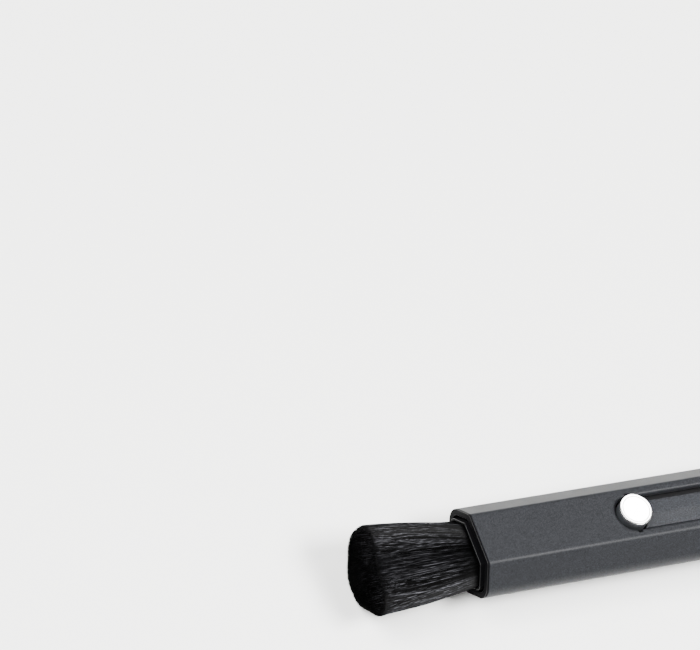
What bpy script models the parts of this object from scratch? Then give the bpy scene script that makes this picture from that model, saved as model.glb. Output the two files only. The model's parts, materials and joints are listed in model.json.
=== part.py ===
"""Lens cleaning pen: hexagonal barrel, slide-out brush, press-and-slide button, capped cleaning tip.

Every piece is measured from the pen's own axis: X runs along the pen from the mouth to the cap,
Y across the wide faces and Z up through the slot. The pen lies on its cap, slot upwards, and the
origin is under the middle of it.
"""
import math

import bmesh
import bpy

MM = 0.001

# Driving dimensions, in millimetres.
FACE_WIDTH = 9.6           # flat of the two wide faces
THICKNESS = 10.56          # between the wide faces
SHARP_WIDTH = 18.92        # across the two side corners before they are rounded
SIDE_RADIUS = 2.85         # rounding of the side corners
EDGE_RADIUS = 0.7          # rounding of the four long edges
WALL = 1.1                 # barrel wall
FIT = 0.12                 # gap between pieces fixed to each other
SLIDE_FIT = 0.4            # gap round what slides in the bore

BARREL_LENGTH = 93.0       # from the mouth to the rear end
CAP_MOUTH = 77.0           # from the mouth to the cap's open end
CAP_END = 115.0            # from the mouth to the cap's closed end
CAP_STANDS_PROUD = 1.3     # the cap's faces over the barrel's
BRUSH_OUT = 20.0           # tuft beyond the mouth
BRUSH_TRAVEL = 21.5        # draws the whole tuft into the barrel
TUFT_TIP_WIDTH = 16.6
TUFT_TIP_THICKNESS = 13.0
BUTTON_X = 30.9            # button's centre from the mouth, brush out
BUTTON_RADIUS = 3.02
BUTTON_PROUD = 1.34        # top of the button over the barrel's face
BUTTON_TRAVEL = 0.6
SLOT_HALF_WIDTH = 3.25
SLOT_CHAMFER = 0.35
NOTCH_HALF_LENGTH = 0.45   # of the two notches beside the slot's ends
NOTCH_REACH = 3.9          # from the middle of the slot
WELL_RADIUS = 3.35         # of the carriage's well for the button
WELL_FLOOR = -2.2          # from the axis
LOCK_BAR_FLOOR = 1.6       # underside of the lock bar from the axis
LOCK_BAR_HALF = 3.8
PLATE_GAP = 0.23           # between the cover plate and the barrel's wall
LAND_HALF_WIDTH = 2.6      # raised middle of the cover plate
FLANGE_HALF_WIDTH = 4.0    # its lower edges under the barrel's wall
DETENT_X = 46.5            # crest of the detent spring, brush out
POST_RADIUS = 2.2          # post that carries the cleaning tip

HALF = THICKNESS / 2
BORE_TOP = HALF - WALL
LENGTH = CAP_END + BRUSH_OUT
AXIS_X = BRUSH_OUT - LENGTH / 2
AXIS_Z = HALF + CAP_STANDS_PROUD
PLATE_TOP = BORE_TOP - PLATE_GAP
PLATE_START = BUTTON_X + 2.0
PLATE_END = BUTTON_X + BRUSH_TRAVEL + 5.0


# ---------------------------------------------------------------- materials and scene
def material(name, colour, roughness, metallic=0.0):
    """A Principled BSDF of one colour, roughness and metallic value."""
    made = bpy.data.materials.new(name)
    made.use_nodes = True
    shader = made.node_tree.nodes["Principled BSDF"]
    shader.inputs["Base Color"].default_value = (*colour, 1.0)
    shader.inputs["Roughness"].default_value = roughness
    shader.inputs["Metallic"].default_value = metallic
    return made


def collection(name):
    made = bpy.data.collections.new(name)
    bpy.context.scene.collection.children.link(made)
    return made


def empty(name, parent, place):
    """A joint's frame: its place is in millimetres from its parent."""
    made = bpy.data.objects.new(name, None)
    made.empty_display_size = 5 * MM
    PARTS.objects.link(made)
    made.parent = parent
    made.location = [v * MM for v in place]
    return made


def piece(name, mesh, parent, finish):
    """A named sub-part, smooth on its round faces."""
    mesh.name = name
    mesh.shade_smooth()
    mesh.set_sharp_from_angle(angle=math.radians(30))
    mesh.materials.append(finish)
    made = bpy.data.objects.new(name, mesh)
    PARTS.objects.link(made)
    made.parent = parent
    return made


def cut(target, mesh, operation="DIFFERENCE"):
    """A Boolean with a wire-drawn cutter that shares the target's parent."""
    cutter = bpy.data.objects.new(f"{target.name}_{operation.lower()}", mesh)
    CUTTERS.objects.link(cutter)
    cutter.parent = target.parent
    cutter.hide_render = True
    cutter.display_type = "WIRE"
    step = target.modifiers.new(operation.title(), "BOOLEAN")
    step.operation = operation
    step.object = cutter
    step.solver = "EXACT"


# ---------------------------------------------------------------- outlines
def arc_corner(corner, before, after, radius, steps):
    """Points of the arc that rounds one corner of an outline."""
    to_before = math.atan2(before[1] - corner[1], before[0] - corner[0])
    to_after = math.atan2(after[1] - corner[1], after[0] - corner[0])
    opening = (to_after - to_before) % (2 * math.pi)
    if opening > math.pi:
        opening -= 2 * math.pi
    middle = to_before + opening / 2
    half = abs(opening) / 2
    reach = radius / math.sin(half)
    centre = (corner[0] + reach * math.cos(middle), corner[1] + reach * math.sin(middle))
    sweep = math.pi - 2 * half
    side = -1 if opening > 0 else 1
    start = middle + math.pi - side * sweep / 2
    return [
        (centre[0] + radius * math.cos(start + side * sweep * k / steps),
         centre[1] + radius * math.sin(start + side * sweep * k / steps))
        for k in range(steps + 1)
    ]


def hexagon(half_face, half_width, half_height, side_radius, edge_radius):
    """Rounded hexagon (y, z) with two wide faces and two side corners."""
    corners = [
        (half_face, half_height), (-half_face, half_height), (-half_width, 0.0),
        (-half_face, -half_height), (half_face, -half_height), (half_width, 0.0),
    ]
    outline = []
    for k, corner in enumerate(corners):
        at_side = k in (2, 5)
        radius = side_radius if at_side else edge_radius
        outline += arc_corner(corner, corners[k - 1], corners[(k + 1) % 6], radius, 8 if at_side else 3)
    return outline


def section(inset):
    """The pen's section, moved inwards by inset on every face."""
    half_face = FACE_WIDTH / 2
    half_width = SHARP_WIDTH / 2
    slope = math.atan2(HALF, half_width - half_face)
    height = HALF - inset
    width = half_width - inset / math.sin(slope)
    face = width - height / math.tan(slope)
    return hexagon(face, width, height, max(SIDE_RADIUS - inset, 0.4), max(EDGE_RADIUS - inset, 0.3))


def along_x(outline, x):
    return [(x, y, z) for y, z in outline]


def stadium(radius, x_from, x_to, z, steps=16):
    """Outline of a round-ended slot in a level plane."""
    ring = []
    for centre, start in ((x_to, -math.pi / 2), (x_from, math.pi / 2)):
        for k in range(steps + 1):
            turn = start + math.pi * k / steps
            ring.append((centre + radius * math.cos(turn), radius * math.sin(turn), z))
    return ring


# ---------------------------------------------------------------- solids
def loft(rings, closed=False):
    """Skin between rings of equal count, capped at both ends or joined last to first."""
    mesh = bpy.data.meshes.new("loft")
    form = bmesh.new()
    loops = [[form.verts.new(point) for point in ring] for ring in rings]
    pairs = list(zip(loops, loops[1:]))
    if closed:
        pairs.append((loops[-1], loops[0]))
    else:
        form.faces.new(loops[0])
        form.faces.new(reversed(loops[-1]))
    for first, second in pairs:
        for k in range(len(first)):
            form.faces.new((first[k], first[k - 1], second[k - 1], second[k]))
    if form.calc_volume(signed=True) < 0:
        bmesh.ops.reverse_faces(form, faces=form.faces)
    bmesh.ops.scale(form, vec=(MM, MM, MM), verts=form.verts)
    form.to_mesh(mesh)
    form.free()
    return mesh


def box(x, y, z):
    """A box between the low and high ends given for each direction."""
    mesh = bpy.data.meshes.new("box")
    form = bmesh.new()
    bmesh.ops.create_cube(form, size=MM)
    for vert in form.verts:
        for axis, (low, high) in enumerate((x, y, z)):
            share = vert.co[axis] / MM + 0.5
            vert.co[axis] = (low + share * (high - low)) * MM
    form.to_mesh(mesh)
    form.free()
    return mesh


def cylinder(radius, low, high, centre=(0.0, 0.0), axis="Z", sides=32):
    """A cylinder from low to high along an axis; centre is its place on the other two."""
    mesh = bpy.data.meshes.new("cylinder")
    form = bmesh.new()
    bmesh.ops.create_cone(form, cap_ends=True, segments=sides, radius1=radius * MM,
                          radius2=radius * MM, depth=(high - low) * MM)
    middle = (high + low) / 2 * MM
    a, b = (v * MM for v in centre)
    for vert in form.verts:
        x, y, z = vert.co
        vert.co = {
            "X": (z + middle, x + a, y + b),
            "Y": (y + a, z + middle, x + b),
            "Z": (x + a, y + b, z + middle),
        }[axis]
    form.to_mesh(mesh)
    form.free()
    return mesh


def turned(name, profile, parent, finish, along="Z", steps=32):
    """A turned solid: profile of (radius, height) from the top down its outer side to the axis.

    A profile that comes back to its first point is a ring with a bore. Along X, height is along the pen.
    """
    mesh = bpy.data.meshes.new(name)
    ring = profile[0] == profile[-1]
    points = profile[:-1] if ring else profile
    edges = [(k, k + 1) for k in range(len(points) - 1)]
    if ring:
        edges.append((len(points) - 1, 0))
    mesh.from_pydata([(r * MM, 0.0, h * MM) for r, h in points], edges, [])
    made = bpy.data.objects.new(name, mesh)
    PARTS.objects.link(made)
    made.parent = parent
    if along == "X":
        made.rotation_euler = (0.0, math.pi / 2, 0.0)
    spin = made.modifiers.new("Turned", "SCREW")
    spin.steps = steps
    spin.render_steps = steps
    spin.use_merge_vertices = True
    spin.merge_threshold = 0.00001
    mesh.materials.append(finish)
    return made


# ---------------------------------------------------------------- barrel
def barrel_shell(parent):
    """Extruded hexagonal tube with the button's slot, its two lock notches and detent grooves."""
    start = 0.42
    seat = 3.2
    seat_inset = 0.6
    shell = piece("barrel_shell", loft([
        along_x(section(0), start), along_x(section(0), BARREL_LENGTH),
        along_x(section(WALL), BARREL_LENGTH), along_x(section(WALL), seat),
        along_x(section(seat_inset), seat), along_x(section(seat_inset), start),
    ], closed=True), parent, GUNMETAL)
    rear = BUTTON_X + BRUSH_TRAVEL
    margin = 0.4
    below = BORE_TOP - 2 * margin
    above = HALF + margin
    slope_start = HALF - SLOT_CHAMFER
    cut(shell, loft([
        stadium(SLOT_HALF_WIDTH, BUTTON_X, rear, below),
        stadium(SLOT_HALF_WIDTH, BUTTON_X, rear, slope_start),
        stadium(SLOT_HALF_WIDTH + above - slope_start, BUTTON_X, rear, above),
    ]))
    for x in (BUTTON_X, rear):
        notch = (x - NOTCH_HALF_LENGTH, x + NOTCH_HALF_LENGTH)
        cut(shell, box(notch, (-NOTCH_REACH, NOTCH_REACH), (below, above)))
    groove_radius = 1.0
    groove_half = 1.8
    groove_depth = 0.4
    groove_axis = groove_radius - groove_depth - BORE_TOP
    for x in (DETENT_X, DETENT_X + BRUSH_TRAVEL):
        place = (x, groove_axis)
        cut(shell, cylinder(groove_radius, -groove_half, groove_half, centre=place, axis="Y", sides=24))


def mouth_ring(parent):
    """Black moulded ring pressed into the barrel's front end; its lip covers the cut end."""
    lip = 0.3
    break_edge = 0.12
    skirt = 3.0
    skirt_inset = 0.72
    piece("mouth_ring", loft([
        along_x(section(0), lip), along_x(section(0), break_edge), along_x(section(break_edge), 0),
        along_x(section(WALL), 0), along_x(section(WALL), skirt),
        along_x(section(skirt_inset), skirt), along_x(section(skirt_inset), lip),
    ], closed=True), parent, BLACK_MOULDING)


def tail_plug(parent):
    """Moulded plug that closes the barrel's rear and carries the cleaning tip on a round post."""
    end = BARREL_LENGTH + 1.0
    lip = BARREL_LENGTH + FIT
    front = 80.5
    hollow_end = 88.0
    hollow_inset = 2.6
    plug_inset = WALL + FIT
    break_edge = 0.15
    plug = piece("tail_plug", loft([
        along_x(section(hollow_inset), hollow_end), along_x(section(hollow_inset), front),
        along_x(section(plug_inset), front), along_x(section(plug_inset), lip),
        along_x(section(0), lip), along_x(section(0), end - break_edge), along_x(section(break_edge), end),
    ]), parent, BLACK_MOULDING)
    cut(plug, cylinder(POST_RADIUS, end - 0.5, end + 2.8, axis="X"), "UNION")


def cleaning_tip(parent):
    """Socket on the post, flexible neck, carrier disc and the chamois pad bonded to it."""
    start = BARREL_LENGTH + 1.15
    turned("tip_socket", [
        (0, start + 6.3), (1.4, start + 6.3), (1.4, start + 4.6), (3.1, start + 4.6), (3.5, start + 4.2),
        (3.5, start), (POST_RADIUS + 0.15, start), (POST_RADIUS + 0.15, start + 2.85), (0, start + 2.85),
    ], parent, BLACK_MOULDING, along="X")
    neck = start + 4.75
    turned("tip_neck", [
        (1.55, neck + 4.5), (2.9, neck + 4.5), (2.9, neck + 3.7), (2.1, neck + 3.1), (2.1, neck + 2.5),
        (2.6, neck + 2.25), (2.1, neck + 2.0), (2.1, neck + 1.4), (2.9, neck + 0.8), (2.9, neck),
        (1.55, neck), (1.55, neck + 1.8), (1.0, neck + 1.9), (1.0, neck + 2.5), (1.55, neck + 2.6),
        (1.55, neck + 4.5),
    ], parent, ELASTOMER, along="X")
    head = neck + 4.65
    turned("tip_head", [
        (0, head + 1.5), (4.3, head + 1.35), (4.6, head + 1.1), (4.6, head + 0.5), (3.6, head),
        (1.35, head), (1.35, head - 1.8), (0, head - 1.8),
    ], parent, BLACK_MOULDING, along="X")
    pad = head + 1.65
    turned("tip_pad", [
        (0, pad + 1.1), (2.4, pad + 1.0), (3.9, pad + 0.75), (4.4, pad + 0.4), (4.4, pad), (0, pad),
    ], parent, CHAMOIS, along="X")


# ---------------------------------------------------------------- slider
def carriage(parent):
    """Moulded bar that slides in the bore: nose, button well, plate seat and detent pocket."""
    inset = WALL + SLIDE_FIT
    nose = 6.8
    nose_inset = 2.15
    shoulder = 9.6
    slide = piece("carriage", loft([
        along_x(section(nose_inset), nose), along_x(section(nose_inset), shoulder),
        along_x(section(inset), shoulder), along_x(section(inset), PLATE_END),
    ]), parent, BLACK_MOULDING)
    clear = 9.0
    plate_seat = 3.05
    cut(slide, box((PLATE_START - 0.2, PLATE_END + 1), (-clear, clear), (plate_seat, clear)))
    cut(slide, cylinder(WELL_RADIUS, WELL_FLOOR, clear, centre=(BUTTON_X, 0), sides=40))
    bar_room = (BUTTON_X - 1.2, BUTTON_X + 1.2)
    bar_floor = LOCK_BAR_FLOOR - BUTTON_TRAVEL - SLIDE_FIT
    bar_side = LOCK_BAR_HALF + 0.25
    cut(slide, box(bar_room, (-bar_side, bar_side), (bar_floor, 2.7)))
    cut(slide, box(bar_room, (-clear, clear), (2.6, clear)))
    spring_pocket = 8.0
    cut(slide, box((DETENT_X - spring_pocket, DETENT_X + spring_pocket), (-2.0, 2.0), (-clear, -2.5)))
    weight_pocket = (12.0, 24.0)
    cut(slide, box(weight_pocket, (-3.2, 3.2), (-clear, -1.5)))


def slider_plate(parent):
    """Cover plate behind the button: a raised, slightly ridged land between two low flanges.

    The flanges run under the barrel's wall and close the slot.
    """
    land_edge = PLATE_TOP - 0.1
    flange = PLATE_TOP - 0.45
    bottom = PLATE_TOP - 0.75
    right = [
        (FLANGE_HALF_WIDTH, bottom), (FLANGE_HALF_WIDTH, flange), (LAND_HALF_WIDTH, flange),
        (LAND_HALF_WIDTH, land_edge),
    ]
    outline = right + [(0.0, PLATE_TOP)] + [(-y, z) for y, z in reversed(right)]
    plate = piece("slider_plate", loft([along_x(outline, PLATE_START), along_x(outline, PLATE_END)]),
                  parent, PLATE_GREY)
    cut(plate, cylinder(WELL_RADIUS, 0, HALF, centre=(BUTTON_X, 0), sides=40))


def brush(parent):
    """Ferrule, the resin plug that binds the hair, and the tuft as one plain flared solid."""
    ferrule_out = WALL + 0.45
    ferrule_in = 1.95
    ferrule_end = 9.4
    rim = -0.55
    break_edge = 0.12
    piece("brush_ferrule", loft([
        along_x(section(ferrule_out), ferrule_end), along_x(section(ferrule_out), rim + break_edge),
        along_x(section(ferrule_out + break_edge), rim), along_x(section(ferrule_in), rim),
        along_x(section(ferrule_in), ferrule_end),
    ], closed=True), parent, BLACK_MOULDING)
    plug_inset = 2.2
    plug_outline = section(plug_inset)
    piece("tuft_plug", loft([along_x(plug_outline, 2.6), along_x(plug_outline, 6.5)]), parent, RESIN)
    root = 2.4
    rounded_end = 0.7
    corner_past_side = 0.9
    tip_half_width = TUFT_TIP_WIDTH / 2
    tip_half_height = TUFT_TIP_THICKNESS / 2
    root_outline = section(2.1)
    tip_outline = hexagon(FACE_WIDTH / 2, tip_half_width + corner_past_side, tip_half_height, 4.4, 1.6)
    rings = [along_x(root_outline, root), along_x(root_outline, rim)]
    steps = 6
    for k in range(1, steps + 1):
        share = k / steps
        flare = share ** 0.85
        x = rim - share * (BRUSH_OUT - rounded_end + rim)
        rings.append([
            (x, a[0] + (b[0] - a[0]) * flare, a[1] + (b[1] - a[1]) * flare)
            for a, b in zip(root_outline, tip_outline)
        ])
    rings.append([(-BRUSH_OUT, y * 0.9, z * 0.88) for y, z in tip_outline])
    piece("brush_tuft", loft(rings), parent, HAIR)


def detent_spring(parent):
    """Bowed steel leaf in the carriage's pocket; its crest clicks into the barrel's grooves."""
    thick = 0.2
    half_length = 7.0
    ends = -2.75
    crest = 0.3 - BORE_TOP - 0.05
    steps = 14
    spine = []
    for k in range(steps + 1):
        share = -1 + 2 * k / steps
        bow = (1 + math.cos(math.pi * share)) / 2
        spine.append((DETENT_X + share * half_length, ends + (crest - ends) * bow))
    rim = spine + [(x, z + thick) for x, z in reversed(spine)]
    half_width = 1.5
    piece("detent_spring", loft([[(x, side, z) for x, z in rim] for side in (-half_width, half_width)]),
          parent, STEEL)


# ---------------------------------------------------------------- button
def button(parent):
    """Drum, bright cap disc, lock bar with two lugs and the screw that holds them together."""
    top = HALF + BUTTON_PROUD
    drum_top = top - 0.45
    radius = BUTTON_RADIUS
    turned("button_drum", [
        (0, drum_top - 1.0), (1.35, drum_top - 1.0), (1.35, drum_top), (radius - 0.1, drum_top),
        (radius, drum_top - 0.1), (radius, 2.6), (0.85, 2.6), (0.85, 4.6), (0, 4.6),
    ], parent, BLACK_MOULDING, steps=40)
    turned("button_disc", [
        (0, top), (radius - 0.25, top), (radius - 0.07, top - 0.05), (radius, top - 0.13),
        (radius, top - 0.33), (1.2, top - 0.33), (1.2, top - 1.25), (0, top - 1.25),
    ], parent, POLISHED, steps=48)
    bar_half_width = 0.9
    bar = piece("lock_bar", box((-bar_half_width, bar_half_width), (-LOCK_BAR_HALF, LOCK_BAR_HALF),
                                (LOCK_BAR_FLOOR, PLATE_TOP)), parent, BLACK_MOULDING)
    lug_inside = 3.25
    bar_top = 2.45
    cut(bar, box((-2, 2), (-lug_inside, lug_inside), (bar_top, HALF)))
    cut(bar, cylinder(0.85, 0, HALF, sides=24))
    turned("button_screw", [
        (0, 4.3), (0.7, 4.3), (0.7, 1.45), (1.3, 1.45), (1.3, 0.75), (0.9, 0.55), (0, 0.55),
    ], parent, STEEL, steps=24)


def button_spring(parent):
    """Coil spring under the lock bar, standing on the floor of the carriage's well."""
    wire = 0.18
    radius = 2.1
    low = WELL_FLOOR + 0.1 + wire
    high = 1.5 - wire
    turns = 4
    per_turn = 14
    curve = bpy.data.curves.new("button_spring", "CURVE")
    curve.dimensions = "3D"
    spline = curve.splines.new("POLY")
    count = turns * per_turn + 1
    spline.points.add(count - 1)
    for k, point in enumerate(spline.points):
        turn = 2 * math.pi * k / per_turn
        height = low + (high - low) * k / (count - 1)
        point.co = (radius * math.cos(turn) * MM, radius * math.sin(turn) * MM, height * MM, 1)
    curve.bevel_depth = wire * MM
    curve.bevel_resolution = 1
    curve.use_fill_caps = True
    curve.materials.append(STEEL)
    made = bpy.data.objects.new("button_spring", curve)
    PARTS.objects.link(made)
    made.parent = parent


# ---------------------------------------------------------------- cap
def cap(parent):
    """Pull-off cap: sleeve, moulded insert round the tip, end plug, and the carbon pad's cup."""
    bore = -0.2
    insert = bore + FIT
    outer = -CAP_STANDS_PROUD
    break_edge = 0.2
    seat = 112.2
    sleeve_end = CAP_END - 0.8
    piece("cap_shell", loft([
        along_x(section(outer + break_edge), CAP_MOUTH), along_x(section(outer), CAP_MOUTH + break_edge),
        along_x(section(outer), sleeve_end), along_x(section(bore), sleeve_end),
        along_x(section(bore), CAP_MOUTH),
    ], closed=True), parent, GUNMETAL)
    insert_start = BARREL_LENGTH + 1.3
    insert_outline = section(insert)
    inside = piece("cap_insert", loft([
        along_x(insert_outline, insert_start), along_x(insert_outline, seat - 0.1),
    ]), parent, BLACK_MOULDING)
    cup_bore = 5.0
    cut(inside, cylinder(cup_bore, BARREL_LENGTH, CAP_END, axis="X", sides=40))
    rounding = 0.3
    piece("cap_end_plug", loft([
        along_x(section(0.9), seat), along_x(section(insert), seat + rounding),
        along_x(section(insert), sleeve_end + FIT), along_x(section(outer), sleeve_end + FIT),
        along_x(section(outer), CAP_END - rounding), along_x(section(outer + rounding), CAP_END),
    ]), parent, BLACK_MOULDING)
    cup = seat - 0.15
    turned("pad_cup", [
        (0, cup), (4.85, cup), (4.85, cup - 4.8), (4.3, cup - 4.8), (4.3, cup - 0.7), (0, cup - 0.7),
    ], parent, BLACK_MOULDING, along="X")
    turned("pad_foam", [(0, cup - 0.85), (4.1, cup - 0.85), (4.1, cup - 3.1), (0, cup - 3.1)],
           parent, FOAM, along="X")
    turned("carbon_pad", [(0, cup - 3.25), (4.1, cup - 3.25), (4.1, cup - 4.75), (0, cup - 4.75)],
           parent, CARBON_FELT, along="X")


# ---------------------------------------------------------------- the pen
for old in list(bpy.data.objects):
    bpy.data.objects.remove(old, do_unlink=True)

PARTS = collection("lens_cleaning_pen")
CUTTERS = collection("cutters")

GUNMETAL = material("gunmetal_matte", (0.085, 0.09, 0.098), 0.45, 0.6)
BLACK_MOULDING = material("black_moulding", (0.012, 0.012, 0.013), 0.4)
PLATE_GREY = material("plate_grey", (0.11, 0.115, 0.125), 0.5, 0.5)
POLISHED = material("polished_disc", (0.9, 0.9, 0.9), 0.12, 1.0)
STEEL = material("spring_steel", (0.5, 0.5, 0.5), 0.3, 1.0)
HAIR = material("black_hair", (0.012, 0.012, 0.013), 0.6)
RESIN = material("binding_resin", (0.03, 0.025, 0.02), 0.35)
ELASTOMER = material("black_elastomer", (0.015, 0.015, 0.015), 0.7)
CHAMOIS = material("carbon_chamois", (0.03, 0.03, 0.03), 0.9)
FOAM = material("grey_foam", (0.08, 0.08, 0.08), 0.95)
CARBON_FELT = material("carbon_felt", (0.01, 0.01, 0.01), 0.95)

PEN = empty("pen_axis", None, (AXIS_X, 0.0, AXIS_Z))
SLIDER = empty("brush_slide_frame", PEN, (0.0, 0.0, 0.0))
BUTTON = empty("button_press_frame", SLIDER, (BUTTON_X, 0.0, 0.0))
CAP = empty("cap_pull_frame", PEN, (0.0, 0.0, 0.0))

barrel_shell(PEN)
mouth_ring(PEN)
tail_plug(PEN)
cleaning_tip(PEN)
carriage(SLIDER)
slider_plate(SLIDER)
brush(SLIDER)
detent_spring(SLIDER)
button(BUTTON)
button_spring(BUTTON)
cap(CAP)
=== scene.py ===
import json
import math
import random

import bmesh
import bpy
from mathutils import Matrix, Quaternion, Vector


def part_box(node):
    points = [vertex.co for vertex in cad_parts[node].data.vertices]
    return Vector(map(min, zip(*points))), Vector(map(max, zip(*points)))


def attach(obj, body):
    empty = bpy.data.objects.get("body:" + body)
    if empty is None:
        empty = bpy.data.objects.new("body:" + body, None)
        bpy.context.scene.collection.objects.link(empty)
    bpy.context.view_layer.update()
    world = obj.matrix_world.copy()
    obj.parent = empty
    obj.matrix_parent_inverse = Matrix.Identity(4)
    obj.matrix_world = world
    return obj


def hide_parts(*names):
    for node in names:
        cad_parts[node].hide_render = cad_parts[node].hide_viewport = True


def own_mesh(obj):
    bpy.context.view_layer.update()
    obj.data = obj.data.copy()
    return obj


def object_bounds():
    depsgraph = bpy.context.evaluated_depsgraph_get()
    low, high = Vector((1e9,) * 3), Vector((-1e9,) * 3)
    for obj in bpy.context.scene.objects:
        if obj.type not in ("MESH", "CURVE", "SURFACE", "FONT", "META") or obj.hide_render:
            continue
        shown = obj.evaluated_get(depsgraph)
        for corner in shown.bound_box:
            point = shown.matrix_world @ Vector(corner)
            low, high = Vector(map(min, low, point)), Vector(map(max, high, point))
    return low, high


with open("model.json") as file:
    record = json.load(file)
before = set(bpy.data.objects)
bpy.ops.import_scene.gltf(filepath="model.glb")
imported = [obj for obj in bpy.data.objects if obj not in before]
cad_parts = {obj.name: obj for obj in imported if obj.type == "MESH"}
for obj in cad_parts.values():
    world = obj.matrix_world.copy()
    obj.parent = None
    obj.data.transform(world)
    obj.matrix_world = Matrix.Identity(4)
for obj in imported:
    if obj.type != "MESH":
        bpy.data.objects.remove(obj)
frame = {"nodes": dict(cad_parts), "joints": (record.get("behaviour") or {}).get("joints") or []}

cad_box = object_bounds()


# ================================================================ barrel shell
# The barrel is an extruded aluminium tube of hexagonal section: two wide faces, four narrow ones and
# two well-rounded side corners. One wide face is milled with the button's round-ended slot, and the
# whole tube is sprayed with a fine matte anthracite lacquer. It is bonded to the ring and plug at its ends.
MM = 0.001
FACE_WIDTH = 9.6
THICKNESS = 10.56
SHARP_WIDTH = 18.92
SIDE_RADIUS = 2.85
EDGE_RADIUS = 1.0
LEAST_RADIUS = 0.3
SIDE_STEPS = 16
EDGE_STEPS = 6
WALL = 1.1
LACQUER = "#0E0F10"
LACQUER_FLECK = "#2F3034"

shell_low, shell_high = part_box("barrel_shell")
MOUTH_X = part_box("mouth_ring")[0].x
AXIS_Z = (shell_low.z + shell_high.z) / 2
HALF = THICKNESS / 2


def along(x_world):
    """A world x as millimetres behind the mouth."""
    return (x_world - MOUTH_X) / MM


def arc_corner(corner, before, after, radius, steps):
    """Points of the arc that rounds one corner of an outline that runs anticlockwise."""
    to_before = math.atan2(before[1] - corner[1], before[0] - corner[0])
    to_after = math.atan2(after[1] - corner[1], after[0] - corner[0])
    opening = (to_before - to_after) % (2 * math.pi)
    middle = to_after + opening / 2
    reach = radius / math.sin(opening / 2)
    centre = (corner[0] + reach * math.cos(middle), corner[1] + reach * math.sin(middle))
    sweep = math.pi - opening
    start = middle + math.pi - sweep / 2
    return [
        (centre[0] + radius * math.cos(start + sweep * k / steps),
         centre[1] + radius * math.sin(start + sweep * k / steps))
        for k in range(steps + 1)
    ]


def section(inset):
    """The pen's section (y, z) in millimetres, moved inwards by inset on every face."""
    half_face = FACE_WIDTH / 2
    half_width = SHARP_WIDTH / 2
    slope = math.atan2(HALF, half_width - half_face)
    height = HALF - inset
    width = half_width - inset / math.sin(slope)
    face = width - height / math.tan(slope)
    corners = [(face, height), (-face, height), (-width, 0), (-face, -height), (face, -height), (width, 0)]
    outline = []
    for k, corner in enumerate(corners):
        side = k in (2, 5)
        radius = max((SIDE_RADIUS if side else EDGE_RADIUS) - inset, LEAST_RADIUS)
        steps = SIDE_STEPS if side else EDGE_STEPS
        outline += arc_corner(corner, corners[k - 1], corners[(k + 1) % 6], radius, steps)
    return outline


def softened(profile, closed, steps=4):
    """Round each corner of a profile of (across, along, radius) by its own radius."""
    points = []
    count = len(profile)
    for k, (a, x, radius) in enumerate(profile):
        at_end = not closed and k in (0, count - 1)
        if radius == 0 or at_end:
            points.append((a, x))
            continue
        corner = Vector((a, x))
        before = Vector(profile[k - 1][:2]) - corner
        after = Vector(profile[(k + 1) % count][:2]) - corner
        start = corner + before.normalized() * min(radius, before.length / 2)
        end = corner + after.normalized() * min(radius, after.length / 2)
        for step in range(steps + 1):
            t = step / steps
            points.append(tuple(start * (1 - t) ** 2 + corner * 2 * t * (1 - t) + end * t ** 2))
    return points


def skin(rings, closed):
    """Mesh through rings of equal count, in millimetres from the mouth's centre."""
    form = bmesh.new()
    loops = [[form.verts.new(point) for point in ring] for ring in rings]
    pairs = list(zip(loops, loops[1:]))
    if closed:
        pairs.append((loops[-1], loops[0]))
    else:
        form.faces.new(loops[0])
        form.faces.new(reversed(loops[-1]))
    for first, second in pairs:
        for k in range(len(first)):
            form.faces.new((first[k], first[k - 1], second[k - 1], second[k]))
    if form.calc_volume(signed=True) < 0:
        bmesh.ops.reverse_faces(form, faces=form.faces)
    mesh = bpy.data.meshes.new("skin")
    form.to_mesh(mesh)
    form.free()
    mesh.transform(Matrix.Translation((MOUTH_X, 0, AXIS_Z)) @ Matrix.Scale(MM, 4))
    return mesh


def hex_skin(profile, closed=True):
    """A hexagonal piece from a profile of (inset, x, radius)."""
    return skin([[(x, y, z) for y, z in section(inset)] for inset, x in softened(profile, closed)], closed)


SHARP_ANGLE = math.radians(38)


def show(name, mesh, body, material_slot, finish, *nodes):
    """A visible piece: smooth faces with true flats, on its body, standing for its CAD nodes."""
    mesh.name = name
    mesh.materials.clear()
    mesh.materials.append(finish)
    mesh.shade_smooth()
    mesh.set_sharp_from_angle(angle=SHARP_ANGLE)
    made = bpy.data.objects.new(name, mesh)
    bpy.context.scene.collection.objects.link(made)
    flats = made.modifiers.new("True flats", "WEIGHTED_NORMAL")
    flats.keep_sharp = True
    flats.weight = 90
    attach(made, body)
    if nodes:
        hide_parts(*nodes)
    return made


def carve(mesh, cutter_mesh):
    """The mesh with the cutter's volume taken out of it."""
    target = bpy.data.objects.new("target", mesh)
    cutter = bpy.data.objects.new("cutter", cutter_mesh)
    for thing in (target, cutter):
        bpy.context.scene.collection.objects.link(thing)
    step = target.modifiers.new("Cut", "BOOLEAN")
    step.operation = "DIFFERENCE"
    step.solver = "EXACT"
    step.object = cutter
    bpy.context.view_layer.update()
    result = bpy.data.meshes.new_from_object(target.evaluated_get(bpy.context.evaluated_depsgraph_get()))
    for thing in (target, cutter):
        bpy.data.objects.remove(thing)
    return result


def linear(colour):
    """sRGB hex to the linear colour that a shader takes."""
    parts = [int(colour[k:k + 2], 16) / 255 for k in (1, 3, 5)]
    return tuple(v / 12.92 if v <= 0.04045 else ((v + 0.055) / 1.055) ** 2.4 for v in parts) + (1.0,)


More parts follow.
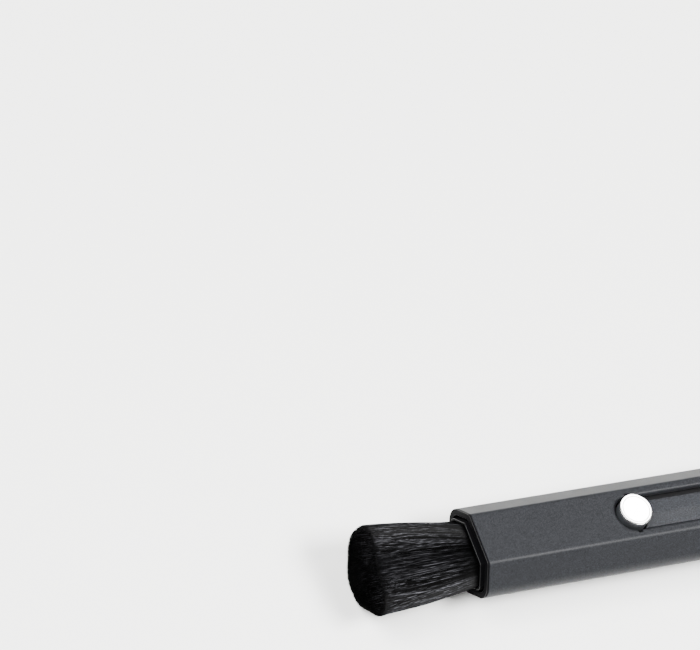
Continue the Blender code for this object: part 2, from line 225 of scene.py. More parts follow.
def add(tree, kind, settings, **links):
    """One node: settings go to its inputs or properties, and links name the sockets that feed it."""
    node = tree.nodes.new("ShaderNode" + kind)
    for key, value in settings.items():
        if hasattr(node, key):
            setattr(node, key, value)
        else:
            node.inputs[key].default_value = value
    for key, source in links.items():
        tree.links.new(source, node.inputs[key.replace("_", " ")])
    return node


def finish_of(name, **shader):
    """A material with its Principled shader's constant values, and its node tree and shader."""
    made = bpy.data.materials.new(name)
    made.use_nodes = True
    node = made.node_tree.nodes["Principled BSDF"]
    for key, value in shader.items():
        node.inputs[key.replace("_", " ")].default_value = value
    return made, made.node_tree, node


def per(size_mm):
    """Texture scale, in features a metre, for a feature of the given size."""
    return 1 / (size_mm * MM)


# Matte lacquer: the flecks and the sprayed grain are about a tenth of a millimetre, drawn at 0.14 mm
# so that they show. It gives the eye an even dark grey with soft, broad highlights.
lacquer, tree, shader = finish_of("matte_anthracite_lacquer", IOR=1.4, Specular_IOR_Level=0.14)
place = add(tree, "TexCoord", {})
grain = add(tree, "TexNoise", {"Scale": per(0.14), "Detail": 2.0, "Roughness": 0.6},
            Vector=place.outputs["Object"])
cloud = add(tree, "TexNoise", {"Scale": per(9), "Detail": 3.0}, Vector=place.outputs["Object"])
fleck = add(tree, "ValToRGB", {}, Fac=grain.outputs["Fac"])
fleck.color_ramp.elements[0].position = 0.35
fleck.color_ramp.elements[0].color = linear(LACQUER)
fleck.color_ramp.elements[1].position = 0.85
fleck.color_ramp.elements[1].color = linear(LACQUER_FLECK)
tree.links.new(fleck.outputs["Color"], shader.inputs["Base Color"])
wear = add(tree, "MapRange", {"To Min": 0.4, "To Max": 0.5}, Value=cloud.outputs["Fac"])
tree.links.new(wear.outputs["Result"], shader.inputs["Roughness"])
spray = add(tree, "Bump", {"Strength": 0.25, "Distance": 0.01 * MM}, Height=grain.outputs["Fac"])
tree.links.new(spray.outputs["Normal"], shader.inputs["Normal"])

SHELL_START = along(shell_low.x)
SHELL_END = along(shell_high.x)
RING_SEAT = 0.6
RING_SEAT_END = 3.2
shell_mesh = hex_skin([
    (0, SHELL_START, 0.06), (0, SHELL_END, 0.06), (WALL, SHELL_END, 0.1),
    (WALL, RING_SEAT_END, 0), (RING_SEAT, RING_SEAT_END, 0), (RING_SEAT, SHELL_START, 0.05),
])

disc_low, disc_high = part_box("button_disc")
BUTTON_X = along((disc_low.x + disc_high.x) / 2)
SLOT_RADIUS = 3.25
SLOT_ROUNDING = 0.5
brush_slide = next(joint for joint in frame["joints"] if joint["name"] == "brush_slide")
SLOT_RUN = brush_slide["range_m"][1] / MM
UNDER_WALL = HALF - WALL - 0.8
OVER_FACE = HALF + 0.5


def stadium(radius, z, steps=28):
    """Outline of the slot at one level."""
    ring = []
    for centre, start in ((BUTTON_X + SLOT_RUN, -math.pi / 2), (BUTTON_X, math.pi / 2)):
        for k in range(steps + 1):
            turn = start + math.pi * k / steps
            ring.append((centre + radius * math.cos(turn), radius * math.sin(turn), z))
    return ring


def box_skin(x, y, z):
    """A plain block between pairs of limits, as a cutter."""
    corners = [(x[0], y[0]), (x[1], y[0]), (x[1], y[1]), (x[0], y[1])]
    return skin([[(a, b, level) for a, b in corners] for level in z], False)


slot_profile = [(SLOT_RADIUS, UNDER_WALL)]
ROUNDING_STEPS = 6
ROUNDING_ARC = math.radians(84)
for k in range(ROUNDING_STEPS + 1):
    turn = ROUNDING_ARC * k / ROUNDING_STEPS
    slot_profile.append((SLOT_RADIUS + SLOT_ROUNDING * (1 - math.cos(turn)),
                         HALF - SLOT_ROUNDING * (1 - math.sin(turn))))
slot_profile.append((SLOT_RADIUS + SLOT_ROUNDING + 0.1, OVER_FACE))
shell_mesh = carve(shell_mesh, skin([stadium(r, z) for r, z in slot_profile], False))
NOTCH_HALF = 0.45
NOTCH_REACH = 3.9
for x in (BUTTON_X, BUTTON_X + SLOT_RUN):
    shell_mesh = carve(shell_mesh, box_skin(
        (x - NOTCH_HALF, x + NOTCH_HALF), (-NOTCH_REACH, NOTCH_REACH), (UNDER_WALL, OVER_FACE)))
show("barrel_lacquered_shell", shell_mesh, "barrel", "gunmetal", lacquer, "barrel_shell")


# ================================================================ mouth ring and tail plug
# Two moulded ABS ends, pressed into the tube and covering its cut edges. The tail plug also carries
# the post for the cleaning tip.
BLACK_ABS_AND_SHADE = "#050506"
RUBBED_BLACK = "#0C0C0D"


def moulded(name, colour, grain_mm, low, high, depth_mm, **shader_values):
    """Moulded plastic: one colour, with the tool's grain in its gloss and relief."""
    made, tree, shader = finish_of(name, Base_Color=linear(colour), **shader_values)
    place = add(tree, "TexCoord", {})
    grit = add(tree, "TexNoise", {"Scale": per(grain_mm), "Detail": 2.0}, Vector=place.outputs["Object"])
    sheen = add(tree, "MapRange", {"To Min": low, "To Max": high}, Value=grit.outputs["Fac"])
    tree.links.new(sheen.outputs["Result"], shader.inputs["Roughness"])
    relief = add(tree, "Bump", {"Strength": 0.4, "Distance": depth_mm * MM}, Height=grit.outputs["Fac"])
    tree.links.new(relief.outputs["Normal"], shader.inputs["Normal"])
    return made


# Moulded ABS from a fine spark-eroded tool, grit about 0.1 mm: black with a low, soft sheen. The two
# rings at the mouth have a deader, soft-touch coat, and only their rubbed edges still catch the light.
abs_black = moulded("moulded_black_abs", BLACK_ABS_AND_SHADE, 0.1, 0.4, 0.55, 0.01, IOR=1.46,
                    Specular_IOR_Level=0.3)
soft_touch = moulded("soft_touch_black_coat", BLACK_ABS_AND_SHADE, 0.1, 0.6, 0.7, 0.01, IOR=1.46,
                     Specular_IOR_Level=0.04)
rubbed_edge = moulded("rubbed_black_edge", RUBBED_BLACK, 0.3, 0.35, 0.45, 0.005, IOR=1.5,
                       Specular_IOR_Level=0.2)


def rub_edges(piece):
    """The rubbed finish on a ring's rounded edges, whose faces look neither along the pen nor across it."""
    piece.data.materials.append(rubbed_edge)
    for face in piece.data.polygons:
        if 0.2 < abs(face.normal.x) < 0.98:
            face.material_index = 1


ring_back = along(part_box("mouth_ring")[1].x)
LIP = 0.3
SEAT = 0.72
ring = show("mouth_ring_moulding", hex_skin([
    (0, LIP, 0.02), (0, 0, 0.12), (WALL, 0, 0.14), (WALL, ring_back, 0), (SEAT, ring_back, 0),
    (SEAT, LIP, 0),
]), "barrel", "black_moulding", soft_touch, "mouth_ring")
rub_edges(ring)


def dress(node, finish):
    """A finer material on a CAD node that is shown as it is."""
    target = frame["nodes"][node]
    target.data.materials.clear()
    target.data.materials.append(finish)


dress("tail_plug", abs_black)


# ================================================================ cleaning tip
# A hard socket sits on the plug's post, a ribbed neck of soft elastomer lets the tip tilt on the lens,
# and a carrier disc holds the chamois pad, which is bonded on and dusted with carbon.
def round_skin(profile, closed=False, sides=64, centre_x=None):
    """A turned piece about the pen's axis, or about the button's when centre_x is given."""
    rings = []
    for radius, x in softened(profile, closed):
        ring = []
        for k in range(sides):
            turn = 2 * math.pi * k / sides
            a, b = radius * math.cos(turn), radius * math.sin(turn)
            ring.append((x, a, b) if centre_x is None else (centre_x + a, b, x))
        rings.append(ring)
    return skin(rings, closed)


socket_x = along(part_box("tip_socket")[0].x)
POST_FIT = 2.35
show("tip_socket_moulding", round_skin([
    (POST_FIT, socket_x + 2.85, 0), (POST_FIT, socket_x, 0.1), (3.5, socket_x, 0.2),
    (3.5, socket_x + 4.3, 0.5),
    (1.4, socket_x + 4.6, 0.1), (1.4, socket_x + 6.3, 0.2), (0.4, socket_x + 6.3, 0),
]), "barrel", "black_moulding", abs_black, "tip_socket")

ELASTOMER = "#1B1B1C"
# Soft moulded elastomer: dusty black with almost no shine.
elastomer, tree, shader = finish_of("soft_black_elastomer", Base_Color=linear(ELASTOMER), IOR=1.5)
place = add(tree, "TexCoord", {})
dust = add(tree, "TexNoise", {"Scale": per(0.3), "Detail": 4.0}, Vector=place.outputs["Object"])
matt = add(tree, "MapRange", {"To Min": 0.62, "To Max": 0.8}, Value=dust.outputs["Fac"])
tree.links.new(matt.outputs["Result"], shader.inputs["Roughness"])
neck_low, neck_high = (along(v.x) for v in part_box("tip_neck"))
show("tip_neck_bellows", round_skin([
    (1.55, neck_low, 0.1), (2.9, neck_low, 0.2), (2.9, neck_low + 0.8, 0.3), (2.1, neck_low + 1.4, 0.25),
    (2.6, neck_low + 2.25, 0.35), (2.1, neck_low + 3.1, 0.25), (2.9, neck_low + 3.7, 0.3),
    (2.9, neck_high, 0.2), (1.55, neck_high, 0.1),
], closed=True), "barrel", "black_elastomer", elastomer, "tip_neck")

head_high = along(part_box("tip_head")[1].x)
show("tip_carrier_disc", round_skin([
    (0.3, head_high, 0), (4.3, head_high - 0.1, 0.3), (4.6, head_high - 0.4, 0.2),
    (4.6, head_high - 1.0, 0.3), (3.6, head_high - 1.5, 0.3), (1.35, head_high - 1.5, 0.1),
    (1.35, head_high - 3.3, 0.2), (0.3, head_high - 3.3, 0),
]), "barrel", "black_moulding", abs_black, "tip_head")

CHAMOIS = "#2A2928"
CARBON_DUST = "#121212"
# Chamois napped to about 0.2 mm and filled with carbon powder: deep dull black with a brushed nap.
chamois, tree, shader = finish_of("carbon_dusted_chamois", Roughness=0.9, Sheen_Weight=0.35,
                                  Sheen_Roughness=0.5)
place = add(tree, "TexCoord", {})
nap = add(tree, "TexNoise", {"Scale": per(0.22), "Detail": 5.0}, Vector=place.outputs["Object"])
powder = add(tree, "ValToRGB", {}, Fac=nap.outputs["Fac"])
powder.color_ramp.elements[0].position = 0.35
powder.color_ramp.elements[0].color = linear(CARBON_DUST)
powder.color_ramp.elements[1].position = 0.7
powder.color_ramp.elements[1].color = linear(CHAMOIS)
tree.links.new(powder.outputs["Color"], shader.inputs["Base Color"])
pile = add(tree, "Bump", {"Strength": 0.5, "Distance": 0.04 * MM}, Height=nap.outputs["Fac"])
tree.links.new(pile.outputs["Normal"], shader.inputs["Normal"])
pad_low, pad_high = (along(v.x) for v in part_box("tip_pad"))
show("tip_chamois_pad", round_skin([
    (0.2, pad_high, 0), (2.4, pad_high - 0.1, 0.6), (3.9, pad_high - 0.35, 0.5), (4.4, pad_high - 0.7, 0.3),
    (4.4, pad_low, 0.1), (0.2, pad_low, 0),
]), "barrel", "carbon_chamois", chamois, "tip_pad")


# ================================================================ carriage and its spring
# A moulded acetal bar carries everything that slides. The bowed leaf of spring steel in its underside
# clicks into the barrel's grooves, and a small coil lifts the button.
dress("carriage", abs_black)
dress("lock_bar", abs_black)

STEEL_BRIGHT = "#B9BABC"
# Cold-drawn spring steel: bright grey with fine lengthwise drawing lines.
spring_steel, tree, shader = finish_of("drawn_spring_steel", Base_Color=linear(STEEL_BRIGHT), Metallic=1.0)
place = add(tree, "TexCoord", {})
drawn = add(tree, "TexNoise", {"Scale": per(0.15), "Detail": 3.0}, Vector=place.outputs["Object"])
line = add(tree, "MapRange", {"To Min": 0.22, "To Max": 0.36}, Value=drawn.outputs["Fac"])
tree.links.new(line.outputs["Result"], shader.inputs["Roughness"])
for name in ("detent_spring", "button_screw"):
    dress(name, spring_steel)

coil_low, coil_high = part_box("button_spring")
COIL_WIRE = 0.18
COIL_TURNS = 4
coil_base = (coil_low.z - AXIS_Z) / MM + COIL_WIRE
coil_top = (coil_high.z - AXIS_Z) / MM - COIL_WIRE
COIL_RADIUS = (coil_high.x - coil_low.x) / MM / 2 - COIL_WIRE
COIL_STEPS = 32 * COIL_TURNS
WIRE_SIDES = 10
rise = Vector((0, 0, 1))
coil_rings = []
for k in range(COIL_STEPS + 1):
    turn = 2 * math.pi * COIL_TURNS * k / COIL_STEPS
    out = Vector((math.cos(turn), math.sin(turn), 0))
    height = coil_base + (coil_top - coil_base) * k / COIL_STEPS
    centre = Vector((BUTTON_X, 0, height)) + out * COIL_RADIUS
    coil_rings.append([
        centre + (out * math.cos(a) + rise * math.sin(a)) * COIL_WIRE
        for a in (2 * math.pi * j / WIRE_SIDES for j in range(WIRE_SIDES))
    ])
coil = show("button_coil_spring", skin(coil_rings, False), "brush_slider", "spring_steel", spring_steel,
            "button_spring")
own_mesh(coil)


# ================================================================ ferrule and resin
# The brush's ferrule is a thin black moulding that stands just out of the mouth. Inside it the hair is
# bound by a plug of dark resin.
ferrule_low, ferrule_high = (along(v.x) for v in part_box("brush_ferrule"))
FERRULE_OUT = WALL + 0.45
FERRULE_IN = 1.95
ferrule = show("brush_ferrule_moulding", hex_skin([
    (FERRULE_OUT, ferrule_high, 0), (FERRULE_OUT, ferrule_low, 0.15), (FERRULE_IN, ferrule_low, 0.12),
    (FERRULE_IN, ferrule_high, 0),
]), "brush_slider", "black_moulding", soft_touch, "brush_ferrule")
rub_edges(ferrule)

RESIN = "#241F1A"
# Cast resin: dark amber-brown, slightly wavy and glossy.
resin, tree, shader = finish_of("cast_binding_resin", Base_Color=linear(RESIN), Roughness=0.25, IOR=1.55)
place = add(tree, "TexCoord", {})
flow = add(tree, "TexNoise", {"Scale": per(1.2), "Detail": 2.0}, Vector=place.outputs["Object"])
ripple = add(tree, "Bump", {"Strength": 0.3, "Distance": 0.05 * MM}, Height=flow.outputs["Fac"])
tree.links.new(ripple.outputs["Normal"], shader.inputs["Normal"])
dress("tuft_plug", resin)


# ================================================================ tuft
# Soft black hair, bound in the ferrule and flaring to a trimmed, faintly domed end. It is drawn as
# separate tapering hairs over a dark heart. When the brush goes in, the hair folds together; the tuft
# is laid in sectors by where each hair ends, and each sector's fold into the bore is worked out but not
# applied.
tuft_low = along(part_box("brush_tuft")[0].x)
TUFT_ROOT = 2.4
FERRULE_LIP = 0.6
TIP_RADIUS = 6.88
TIP_OFF_AXIS = (-0.15, 0.0)
TIP_OVAL = (0.86, 0.48)
TIP_THREE_CORNERS = (-0.53, 0.51)
TIP_FOUR_CORNERS = (0.12, -0.24)
TIP_FIVE_CORNERS = (-0.08, 0.01)
TIP_SIX_CORNERS = (0.11, -0.14)
CUT_SLANT = 0.06
HAIR_WIDTH = 0.12
HAIR_STEPS = 9
SECTORS = 12
HAIRS_INSIDE = 3400
HAIRS_OUTSIDE = 6400
HAIR_START = 0.06
OUTER_SHARE = 0.86
TRIM_SPREAD = 0.007
DRIFT = 0.15
BOW = 0.02
WAVE = 0.012
TAPER_FROM = 0.75
TAPER = 0.55
root_outline = section(2.15)


def reach(outline, turn):
    """Distance from the axis to an outline in one direction."""
    heading = (math.cos(turn), math.sin(turn))
    for k in range(len(outline)):
        (ax, ay), (bx, by) = outline[k - 1], outline[k]
        dx, dy = bx - ax, by - ay
        det = heading[0] * dy - heading[1] * dx
        if abs(det) < 1e-12:
            continue
        share = (heading[1] * ax - heading[0] * ay) / det
        distance = (ax * dy - ay * dx) / det
        if distance > 0 and -1e-9 <= share <= 1 + 1e-9:
            return distance
    return 0.0


def tip_reach(turn):
    """The tip's outline: an oval, a little lopsided and cornered, as the hair has spread."""
    radius = TIP_RADIUS
    waves = (TIP_OFF_AXIS, TIP_OVAL, TIP_THREE_CORNERS, TIP_FOUR_CORNERS, TIP_FIVE_CORNERS, TIP_SIX_CORNERS)
    for count, (level, upright) in enumerate(waves, start=1):
        radius += level * math.cos(count * turn) + upright * math.sin(count * turn)
    return radius


def tuft_point(turn, share, depth):
    """Place in the tuft: direction, share of the way out, and depth from 0 at the root to 1 at the tip."""
    root = reach(root_outline, turn)
    outside = depth * (TUFT_ROOT - tuft_low) - TUFT_ROOT - FERRULE_LIP
    spread = max(0.0, outside / (-tuft_low - FERRULE_LIP))
    radius = share * (root + (tip_reach(turn) - root) * spread ** 0.8)
    y, z = radius * math.cos(turn), radius * math.sin(turn)
    x = TUFT_ROOT + (tuft_low + CUT_SLANT * z - TUFT_ROOT) * depth
    return Vector((x, y, z))


HAIR_DARK = "#020202"
HAIR_HIGHLIGHT = "#4A4A4E"
# Dyed goat hair, about 0.07 mm thick and drawn up to 0.14 mm so that it shows: black and nearly
# without shine. About half of the strands carry a grey painted highlight, picked at random per strand,
# and painted shade takes them back to black towards the root and the cut end.
hair, tree, shader = finish_of("dyed_black_hair_painted_light", Roughness=0.45, IOR=1.4, Specular_IOR_Level=0.05)
strand = add(tree, "NewGeometry", {})
strand_highlight = add(tree, "ValToRGB", {}, Fac=strand.outputs["Random Per Island"])
strand_highlight.color_ramp.elements[0].position = 0.5
strand_highlight.color_ramp.elements[0].color = linear(HAIR_DARK)
strand_highlight.color_ramp.elements[1].position = 1.0
strand_highlight.color_ramp.elements[1].color = linear(HAIR_HIGHLIGHT)
place = add(tree, "TexCoord", {})
where = add(tree, "SeparateXYZ", {}, Vector=place.outputs["Object"])
# Painted shade: the hair's colour goes to black over the last 1.1 mm at the cut end and over 5 mm from the
# ferrule's lip, where the gaps between strands and the ferrule shade it.
DARK_TIP = 1.1
DARK_ROOT = 5.0
tip_x = MOUTH_X + tuft_low * MM
root_x = MOUTH_X - FERRULE_LIP * MM
from_tip = add(tree, "MapRange", {"From Min": tip_x, "From Max": tip_x + DARK_TIP * MM},
               Value=where.outputs["X"])
from_root = add(tree, "MapRange", {"From Min": root_x, "From Max": root_x - DARK_ROOT * MM},
                Value=where.outputs["X"])
shown = add(tree, "Math", {"operation": "MULTIPLY"})
tree.links.new(from_tip.outputs["Result"], shown.inputs[0])
tree.links.new(from_root.outputs["Result"], shown.inputs[1])
# Painted highlight: a strand's grey comes and goes within 2 or 3 mm, where it would bow into the light and
# out of it among the others.
drawn_out = add(tree, "Mapping", {"Scale": (0.07, 1.0, 1.0)}, Vector=place.outputs["Object"])
bows = add(tree, "TexNoise", {"Scale": per(0.2), "Detail": 1.0}, Vector=drawn_out.outputs["Vector"])
lit = add(tree, "MapRange", {"From Min": 0.42, "From Max": 0.66, "To Min": 0.15}, Value=bows.outputs["Fac"])
glint = add(tree, "Math", {"operation": "MULTIPLY"})
tree.links.new(shown.outputs["Value"], glint.inputs[0])
tree.links.new(lit.outputs["Result"], glint.inputs[1])
tipped = add(tree, "MixRGB", {"Color1": linear(HAIR_DARK)}, Fac=glint.outputs["Value"],
             Color2=strand_highlight.outputs["Color"])
tree.links.new(tipped.outputs["Color"], shader.inputs["Base Color"])

HEART_SHARE = 0.84
HEART_SIDES = 72
heart_rings = []
for depth in (0.0, 0.1, 0.2, 0.35, 0.5, 0.65, 0.8, 0.93):
    heart_rings.append([
        tuft_point(2 * math.pi * k / HEART_SIDES, HEART_SHARE, depth) for k in range(HEART_SIDES)
    ])
heart = show("tuft_heart", skin(heart_rings, False), "brush_slider", "black_hair", hair, "brush_tuft")
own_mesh(heart)

draw = random.Random(7)
SECTOR_HALF = math.pi / SECTORS / 2
sector_rings = [[] for _ in range(SECTORS)]
for k in range(HAIRS_INSIDE + HAIRS_OUTSIDE):
    turn = draw.uniform(0, 2 * math.pi)
    share = math.sqrt(draw.uniform(0.0, 1.0)) if k < HAIRS_INSIDE else draw.uniform(OUTER_SHARE, 1.0)
    end = 1.01 - 0.006 * share ** 4 - abs(draw.gauss(0, TRIM_SPREAD))
    drift = draw.gauss(0, DRIFT)
    bow = draw.gauss(0, BOW)
    wave = draw.gauss(0, WAVE)
    wave_start = draw.uniform(0, 2 * math.pi)
    width = HAIR_WIDTH * draw.uniform(0.7, 1.2) / 2
    rings = []
    for step in range(HAIR_STEPS + 1):
        along_hair = step / HAIR_STEPS
        depth = HAIR_START + (end - HAIR_START) * along_hair
        sway = drift * along_hair ** 2 + wave * along_hair * math.sin(wave_start + 3 * math.pi * along_hair)
        point = tuft_point(turn + sway, share * (1 + bow * math.sin(math.pi * along_hair)), depth)
        taper = width * (1 - TAPER * max(0.0, along_hair - TAPER_FROM) / (1 - TAPER_FROM))
        rings.append([
            point + Vector((0, math.cos(a), math.sin(a))) * taper
            for a in (turn + 2 * math.pi * j / 3 for j in range(3))
        ])
    tip_turn = turn + drift * end ** 2
    sector = int(((tip_turn + SECTOR_HALF) % math.pi) / (2 * SECTOR_HALF)) % SECTORS
    sector_rings[sector].append(rings)


def hair_mesh(hairs):
    """Closed three-sided hairs, joined into one mesh."""
    verts = []
    faces = []
    for rings in hairs:
        base = len(verts)
        for ring in rings:
            verts += [MM * p + Vector((MOUTH_X, 0, AXIS_Z)) for p in ring]
        for step in range(len(rings) - 1):
            a = base + 3 * step
            for j in range(3):
                n = (j + 1) % 3
                faces.append((a + n, a + j, a + 3 + j, a + 3 + n))
        faces.append((base, base + 1, base + 2))
        last = base + 3 * (len(rings) - 1)
        faces.append((last + 2, last + 1, last))
    mesh = bpy.data.meshes.new("hair")
    mesh.from_pydata(verts, [], faces)
    return mesh


BORE_CLEARANCE = 0.25
bore_outline = section(WALL + BORE_CLEARANCE)


def folded(turn):
    """The share of its width that a sector keeps when its hair folds into the bore."""
    keep = 1.0
    for off in (-SECTOR_HALF, -SECTOR_HALF / 2, 0, SECTOR_HALF / 2, SECTOR_HALF):
        for side in (turn, turn + math.pi):
            radius = tip_reach(side + off)
            across = radius * math.sin(off)
            outwards = keep * radius * math.cos(off)
            while math.hypot(outwards, across) > reach(bore_outline, side + math.atan2(across, outwards)):
                keep -= 0.01
                outwards = keep * radius * math.cos(off)
    return keep


for k, hairs in enumerate(sector_rings):
    turn = math.pi * k / SECTORS
    lock = show(f"tuft_hair_{k}", hair_mesh(hairs), "brush_slider", "black_hair", hair)
    folded(turn)
    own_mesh(lock)


# ================================================================ slider plate
# The cover plate behind the button is a thin moulded strip whose raised middle has a very low ridge and
# is sprayed a shade lighter than the barrel. Its flanges run under the barrel's wall; they and the sides
# of the raised middle are coloured black as painted shade from the slot's walls.
PLATE = "#101113"
PLATE_FLECK = "#313338"
plate_low, plate_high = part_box("slider_plate")
# The same matte lacquer a shade lighter, with a slightly coarser grain of 0.18 mm. Below the top, the
# sides and the flanges get black painted shade.
plate_lacquer, tree, shader = finish_of("matte_grey_plate_lacquer", IOR=1.45, Roughness=0.42,
                                        Specular_IOR_Level=0.25)
place = add(tree, "TexCoord", {})
grain = add(tree, "TexNoise", {"Scale": per(0.18), "Detail": 2.0}, Vector=place.outputs["Object"])
fleck = add(tree, "ValToRGB", {}, Fac=grain.outputs["Fac"])
fleck.color_ramp.elements[0].position = 0.35
fleck.color_ramp.elements[0].color = linear(PLATE)
fleck.color_ramp.elements[1].position = 0.85
fleck.color_ramp.elements[1].color = linear(PLATE_FLECK)
where = add(tree, "SeparateXYZ", {}, Vector=place.outputs["Object"])
LAND_SIDE = 0.3
shade_mask = add(tree, "MapRange", {"From Min": plate_high.z - (LAND_SIDE + 0.02) * MM,
                                "From Max": plate_high.z - LAND_SIDE * MM}, Value=where.outputs["Z"])
# Painted shade: below the land's top the colour is black, where the slot's walls shade it.
lacquer_or_painted_shade = add(tree, "MixRGB", {"Color1": linear(BLACK_ABS_AND_SHADE)}, Fac=shade_mask.outputs["Result"],
              Color2=fleck.outputs["Color"])
tree.links.new(lacquer_or_painted_shade.outputs["Color"], shader.inputs["Base Color"])
spray = add(tree, "Bump", {"Strength": 0.3, "Distance": 0.012 * MM}, Height=grain.outputs["Fac"])
tree.links.new(spray.outputs["Normal"], shader.inputs["Normal"])
LAND_HALF_WIDTH = 2.6
FLANGE_HALF_WIDTH = (plate_high.y - plate_low.y) / MM / 2
RIDGE = 0.2
RIDGE_FLAT = 0.3
LAND_CORNER = 0.08
FLANGE = 0.3
plate_top = (plate_high.z - AXIS_Z) / MM
plate_bottom = (plate_low.z - AXIS_Z) / MM
flange_top = plate_bottom + FLANGE
plate_side = [
    (FLANGE_HALF_WIDTH, plate_bottom), (FLANGE_HALF_WIDTH, flange_top), (LAND_HALF_WIDTH, flange_top),
    (LAND_HALF_WIDTH, plate_top - RIDGE - LAND_CORNER), (LAND_HALF_WIDTH - LAND_CORNER, plate_top - RIDGE),
]
ridge_top = plate_top - 0.01
plate_outline = plate_side + [(RIDGE_FLAT / 2, ridge_top), (-RIDGE_FLAT / 2, ridge_top)]
plate_outline += [(-y, z) for y, z in reversed(plate_side)]
plate_ends = (BUTTON_X + 2.0, along(plate_high.x))
DRUM_ROOM = 3.35
DRUM_ROOM_SIDES = 64
drum_room = []
for z in (0, HALF):
    turns = (2 * math.pi * k / DRUM_ROOM_SIDES for k in range(DRUM_ROOM_SIDES))
    drum_room.append([(BUTTON_X + DRUM_ROOM * math.cos(a), DRUM_ROOM * math.sin(a), z) for a in turns])
plate_strip = skin([[(x, y, z) for y, z in plate_outline] for x in plate_ends], False)
plate_mesh = carve(plate_strip, skin(drum_room, False))
show("slider_cover_plate", plate_mesh, "brush_slider", "plate_grey", plate_lacquer, "slider_plate")


# ================================================================ button
# A short moulded drum with a dark grey, etched wall, and a bright disc of polished metal let into it.
# A screw from below holds the drum to the lock bar.
DISC_DEPTH = 0.33
disc_top = (disc_high.z - AXIS_Z) / MM
DRUM_RADIUS = (disc_high.x - disc_low.x) / MM / 2
drum_high = (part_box("button_drum")[1].z - AXIS_Z) / MM
drum_low = (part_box("button_drum")[0].z - AXIS_Z) / MM
DRUM_GREY = "#26282A"
# The same ABS from a coarser etched tool, grain about 0.25 mm: a dark grey wall that grips the thumb.
etched_abs = moulded("etched_dark_abs", DRUM_GREY, 0.25, 0.4, 0.6, 0.08, IOR=1.5)
show("button_drum_moulding", round_skin([
    (0.3, drum_high - 1.0, 0), (1.35, drum_high - 1.0, 0), (1.35, drum_high, 0),
    (DRUM_RADIUS, drum_high, 0.08), (DRUM_RADIUS, drum_low, 0.1), (0.3, drum_low, 0),
], centre_x=BUTTON_X, sides=96), "button", "black_moulding", etched_abs, "button_drum")

DISC_METAL = "#F4F4F2"
# Polished, lightly lapped nickel plate: it mirrors the light softly and so looks almost white.
polished, tree, shader = finish_of("polished_nickel_plate", Base_Color=linear(DISC_METAL), Metallic=1.0)
place = add(tree, "TexCoord", {})
lap = add(tree, "TexNoise", {"Scale": per(0.5), "Detail": 3.0}, Vector=place.outputs["Object"])
gloss = add(tree, "MapRange", {"To Min": 0.08, "To Max": 0.12}, Value=lap.outputs["Fac"])
tree.links.new(gloss.outputs["Result"], shader.inputs["Roughness"])
disc_under = (disc_low.z - AXIS_Z) / MM
show("button_bright_disc", round_skin([
    (0.3, disc_top, 0), (DRUM_RADIUS - 0.55, disc_top, 0.04), (DRUM_RADIUS - 0.5, disc_top - 0.015, 0.03),
    (DRUM_RADIUS - 0.45, disc_top, 0.04), (DRUM_RADIUS, disc_top, 0.07),
    (DRUM_RADIUS, disc_top - DISC_DEPTH, 0.05), (1.2, disc_top - DISC_DEPTH, 0), (1.2, disc_under, 0),
    (0.3, disc_under, 0),
], centre_x=BUTTON_X, sides=96), "button", "polished_disc", polished, "button_disc")


# ================================================================ cap
# The cap is a second, slightly larger extruded tube in the same lacquer, closed by a moulded end plug.
# Inside, a moulded insert surrounds the tip, and a small cup holds the carbon felt on its foam spring.
cap_low, cap_high = (along(v.x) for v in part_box("cap_shell"))
PROUD = 1.3
CAP_BORE = -0.2
show("cap_lacquered_sleeve", hex_skin([
    (-PROUD, cap_low, 0.25), (-PROUD, cap_high, 0.06), (CAP_BORE, cap_high, 0), (CAP_BORE, cap_low, 0.15),
]), "cap", "gunmetal", lacquer, "cap_shell")
end_low, end_high = (along(v.x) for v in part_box("cap_end_plug"))
show("cap_end_moulding", hex_skin([
    (0.9, end_low, 0.1), (CAP_BORE + 0.12, end_low + 0.3, 0), (CAP_BORE + 0.12, cap_high + 0.12, 0),
    (-PROUD, cap_high + 0.12, 0.06), (-PROUD, end_high, 0.35), (3.0, end_high, 0),
], closed=False), "cap", "black_moulding", abs_black, "cap_end_plug")
for name in ("cap_insert", "pad_cup"):
    dress(name, abs_black)

FOAM = "#4B4B4C"
FOAM_PIT_SHADE = "#161616"
# Open-cell foam with cells of about 0.4 mm: dull grey, with painted shade darkening each cell's pit.
foam, tree, shader = finish_of("open_cell_foam", Roughness=0.95)
place = add(tree, "TexCoord", {})
cells = add(tree, "TexVoronoi", {"Scale": per(0.4)}, Vector=place.outputs["Object"])
pit_shade = add(tree, "ValToRGB", {}, Fac=cells.outputs["Distance"])
pit_shade.color_ramp.elements[0].color = linear(FOAM_PIT_SHADE)
pit_shade.color_ramp.elements[1].position = 0.5
pit_shade.color_ramp.elements[1].color = linear(FOAM)
tree.links.new(pit_shade.outputs["Color"], shader.inputs["Base Color"])
dress("pad_foam", foam)
dress("carbon_pad", chamois)


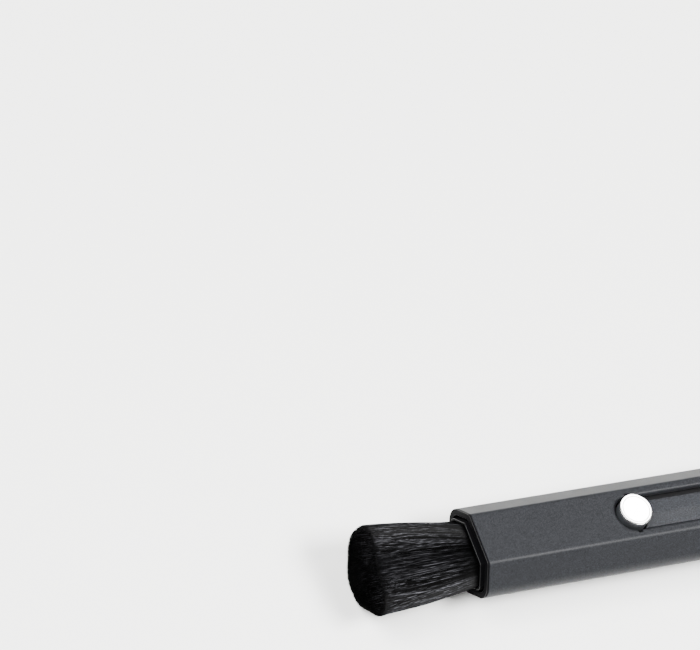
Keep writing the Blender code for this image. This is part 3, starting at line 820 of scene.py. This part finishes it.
# ================================================================ floor, light and camera
# A pale matt table and a pale surround. The main light is a broad softbox on the brush's side, with a
# smaller one overhead, a weak one on the far side and a small card that lights the button's disc.
TABLE = "#F4F4F2"
table_top, tree, shader = finish_of("pale_table", Base_Color=linear(TABLE), Roughness=0.7)
floor_mesh = bpy.data.meshes.new("floor")
FLOOR_HALF = 3.0
floor_mesh.from_pydata([(-FLOOR_HALF, -FLOOR_HALF, 0), (FLOOR_HALF, -FLOOR_HALF, 0),
                        (FLOOR_HALF, FLOOR_HALF, 0), (-FLOOR_HALF, FLOOR_HALF, 0)], [], [(0, 1, 2, 3)])
floor_mesh.materials.append(table_top)
floor = bpy.data.objects.new("floor", floor_mesh)
floor.location.z = cad_box[0][2] - 0.0001
bpy.context.scene.collection.objects.link(floor)

world = bpy.data.worlds.new("studio")
bpy.context.scene.world = world
world.use_nodes = True
world.node_tree.nodes["Background"].inputs["Color"].default_value = linear("#F0F0F0")
world.node_tree.nodes["Background"].inputs["Strength"].default_value = 0.4


def softbox(name, direction, distance, size, power):
    """An area light that faces the pen."""
    light = bpy.data.lights.new(name, "AREA")
    light.shape = "RECTANGLE"
    light.size, light.size_y = size
    light.energy = power
    made = bpy.data.objects.new(name, light)
    towards = Vector(direction).normalized()
    made.location = towards * distance
    made.rotation_mode = "QUATERNION"
    made.rotation_quaternion = towards.to_track_quat("Z", "Y")
    bpy.context.scene.collection.objects.link(made)


softbox("front_softbox", (-0.6, 0.06, 0.79), 1.3, (1.2, 0.9), 60)
softbox("overhead_softbox", (0.435, -0.313, 0.838), 1.0, (0.5, 0.3), 32)
softbox("far_side_softbox", (-0.3, 0.75, 0.6), 1.2, (1.0, 0.6), 1)
softbox("button_card", (0.47, 0.395, 0.79), 1.0, (0.15, 0.15), 1.5)

CAMERA_PLACE = (-360.84, -251.95, 568.43)
CAMERA_AZIMUTH = -45.80
CAMERA_ELEVATION = 52.61
CAMERA_ROLL = 31.27
LENS_TO_SENSOR = 5.714
azimuth, elevation = math.radians(CAMERA_AZIMUTH), math.radians(CAMERA_ELEVATION)
level = math.cos(elevation)
back = Vector((math.sin(azimuth) * level, -math.cos(azimuth) * level, math.sin(elevation)))
camera_data = bpy.data.cameras.new("camera")
camera_data.sensor_width = 36
camera_data.lens = camera_data.sensor_width * LENS_TO_SENSOR
camera_data.clip_start = 0.05
camera_data.clip_end = 20
camera = bpy.data.objects.new("camera", camera_data)
camera.location = [v * MM for v in CAMERA_PLACE]
camera.rotation_mode = "QUATERNION"
roll = Quaternion((0, 0, 1), math.radians(CAMERA_ROLL))
camera.rotation_quaternion = (-back).to_track_quat("-Z", "Y") @ roll
bpy.context.scene.collection.objects.link(camera)
bpy.context.scene.camera = camera
